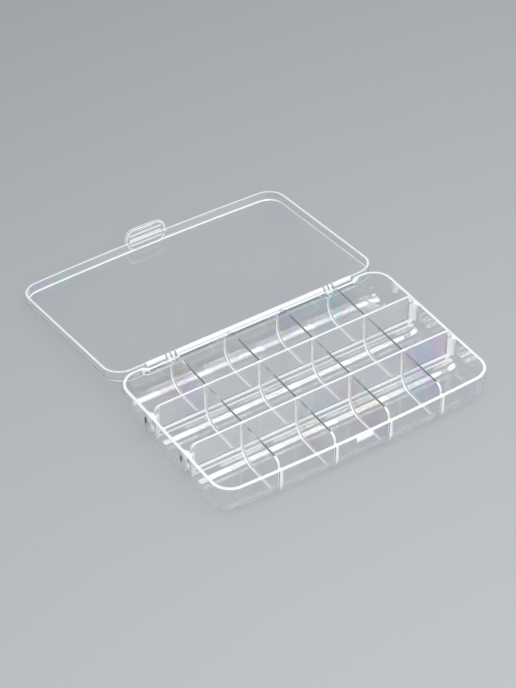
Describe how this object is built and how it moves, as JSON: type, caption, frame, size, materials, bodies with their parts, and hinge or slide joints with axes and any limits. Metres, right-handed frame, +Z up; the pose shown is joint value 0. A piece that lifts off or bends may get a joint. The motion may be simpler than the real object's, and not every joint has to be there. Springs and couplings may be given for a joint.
{
  "type": "bead organizer box",
  "caption": "Clear plastic bead organizer: a shallow tray of round-bottomed compartments in a grid, with one shared lid hinged at the back and lying open, and a front snap tab.",
  "frame": {"origin": "on the table under the middle of the tray, midway between its ends and midway between the straight parts of its front and rear corners", "axes": "+X to the right along the hinge, +Y from the latch side to the hinge side, +Z up; the lid is stored open, lying back along +Y"},
  "size_m": [0.1738, 0.2219, 0.0254],
  "materials": {
    "clear_tray_plastic": "clear, polished",
    "clear_lid_plastic": "clear, polished"
  },
  "bodies": {
    "tray": {"tray_rim": "clear_tray_plastic", "front_trough": "clear_tray_plastic", "middle_trough": "clear_tray_plastic", "rear_trough": "clear_tray_plastic", "front_row_divider": "clear_tray_plastic", "rear_row_divider": "clear_tray_plastic", "column_divider_1": "clear_tray_plastic", "column_divider_2": "clear_tray_plastic", "column_divider_3": "clear_tray_plastic", "column_divider_4": "clear_tray_plastic", "left_hinge_ears": "clear_tray_plastic", "right_hinge_ears": "clear_tray_plastic", "latch_catch": "clear_tray_plastic"},
    "lid": {"lid_panel": "clear_lid_plastic", "lid_skirt": "clear_lid_plastic", "hinge_bar": "clear_lid_plastic", "left_hinge_pin": "clear_lid_plastic", "right_hinge_pin": "clear_lid_plastic", "latch_tab": "clear_lid_plastic", "tab_border": "clear_lid_plastic", "grip_ridges": "clear_lid_plastic", "latch_hook": "clear_lid_plastic"}
  },
  "joints": [
    {"name": "lid_hinge", "type": "hinge", "parent": "tray", "child": "lid", "pos_m": [0, 0.05402, 0.02], "axis": [1, 0, 0], "range_deg": [0, 186.2]}
  ]
}
